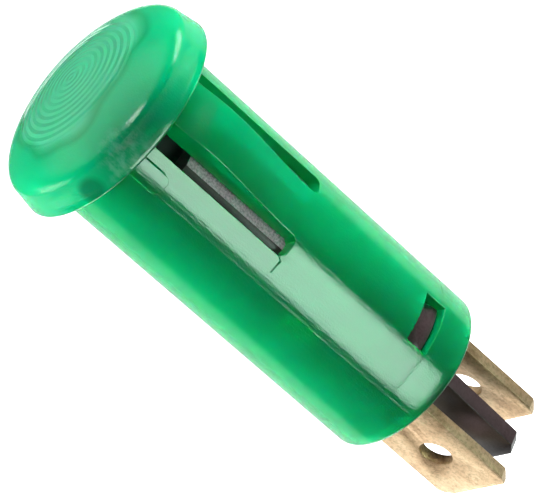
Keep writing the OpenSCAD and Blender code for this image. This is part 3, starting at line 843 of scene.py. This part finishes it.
def flat_sheet(name, corners, material):
    """Flat stage piece through corner points given in order, in metres."""
    mesh = bpy.data.meshes.new(name)
    mesh.from_pydata(corners, [], [tuple(range(len(corners)))])
    sheet = bpy.data.objects.new(name, mesh)
    bpy.context.scene.collection.objects.link(sheet)
    mesh.materials.append(material)
    return sheet


pale, _ = new_material("pale floor", Base_Color=(0.9, 0.9, 0.9, 1), Roughness=0.9,
                       Emission_Color=(1, 1, 1, 1), Emission_Strength=1.6)
corners = [(x * HALF, y * HALF, FLOOR_Z) for x, y in ((-1, -1), (1, -1), (1, 1), (-1, 1))]
flat_sheet("floor", corners, pale)
print("floor at", FLOOR_Z, "m")

# %% Cards
CARD_FROM, CARD_TO = -52, 168                   # the dark card's sector, in degrees
CARD_R, CARD_Z = 1.4, FLOOR_Z + 0.005


def card(name, start, end, material):
    """Sector of a disc just above the floor, between two angles in degrees: its
    middle, and the points R cos a, R sin a along its rim."""
    angles = np.radians(np.linspace(start, end, 45))
    rim_points = [(CARD_R * math.cos(a), CARD_R * math.sin(a), CARD_Z) for a in angles]
    sheet = flat_sheet(name, [(0.0, 0.0, CARD_Z)] + rim_points, material)
    sheet.visible_camera = False


dark, _ = new_material("dark card", Base_Color=(0.02, 0.02, 0.02, 1), Roughness=0.8)
card("dark_card", CARD_FROM, CARD_TO, dark)
grey, _ = new_material("grey card", Base_Color=(0.2, 0.2, 0.2, 1), Roughness=0.8,
                       Emission_Color=(0.9, 1, 0.95, 1), Emission_Strength=0.5)
card("grey_card", CARD_TO, CARD_FROM + 360, grey)
print("dark card over", CARD_TO - CARD_FROM, "degrees")

# %% [markdown]
# ## Lights
# A round glossy barrel mirrors a soft light as one long band, so that light has a
# place of its own and only reflects. The soft light from both sides, which makes the
# plastic glow towards its edges, would add two bands more, so it only shades. Small
# lights over the lens and below the tabs give the glint and the shine of the brass.


# %% Lights
LIT_POINT = Vector((0, 0, -0.014))              # the middle of the pilot light, in metres


def panel_light(name, azimuth, elevation, distance, width, height, radiance):
    """Soft rectangular light aimed at the lit point. Its power follows from the
    radiance wanted in a reflection: area times pi times radiance."""
    data = bpy.data.lights.new(name, "AREA")
    data.shape = "RECTANGLE"
    data.size, data.size_y = width, height
    data.energy = width * height * math.pi * radiance
    away = direction(math.radians(azimuth), math.radians(elevation))
    lamp = bpy.data.objects.new(name, data)
    lamp.matrix_world = Matrix.Translation(LIT_POINT + away * distance) @ facing(away)
    lamp.visible_camera = False
    bpy.context.scene.collection.objects.link(lamp)
    return lamp


band = panel_light("band light", azimuth=56.4, elevation=-25, distance=0.32,
                   width=0.285, height=0.1, radiance=11)
band.data.color = (0.7, 1.0, 0.84)
band.visible_diffuse = False
panel_light("lens light", azimuth=72, elevation=48, distance=0.4,
            width=0.12, height=0.14, radiance=7)
panel_light("tab light", azimuth=-60, elevation=-52, distance=0.27,
            width=0.2, height=0.13, radiance=1.7)
for name, azimuth in (("low side light", -44), ("high side light", 156)):
    soft = panel_light(name, azimuth, elevation=14, distance=0.45,
                       width=0.3, height=0.16, radiance=66)
    soft.visible_glossy = False
print("lights:", len(bpy.data.lights))

# %% [markdown]
# ## World
# The glossy plastic mirrors the whole room, so an evenly white one would wash its
# colours out. The room is white low down behind the light, dim on the camera's side
# and above the horizon, and bright again overhead, where it lights the lens. What
# the camera sees past the floor is plain white.

# %% World
world = bpy.data.worlds.new("studio")
world.use_nodes = True
sky = world.node_tree.nodes["Background"]
sky.inputs["Color"].default_value = (1, 1, 1, 1)
way = graph(world, "ShaderNodeTexCoord").outputs["Generated"]
toward = measure(world, "DOT_PRODUCT", way, direction(CAMERA_AZIMUTH, 0))
behind = remap(world, toward, 0.1, -0.6, 0.2, 0.9)
height = graph(world, "ShaderNodeSeparateXYZ", [("Vector", way)]).outputs["Z"]
below_horizon = remap(world, height, -0.22, -0.12, 1.0, 0.15)
overhead = remap(world, height, 0.6, 0.85, 0.0, 1.1)
room = calculate(world, "ADD", calculate(world, "MULTIPLY", behind, below_horizon), overhead)
seen = graph(world, "ShaderNodeLightPath").outputs["Is Camera Ray"]
world.node_tree.links.new(calculate(world, "MAXIMUM", room, seen), sky.inputs["Strength"])
bpy.context.scene.world = world
bpy.context.scene.view_settings.view_transform = "Standard"
print("world:", len(world.node_tree.nodes), "nodes")
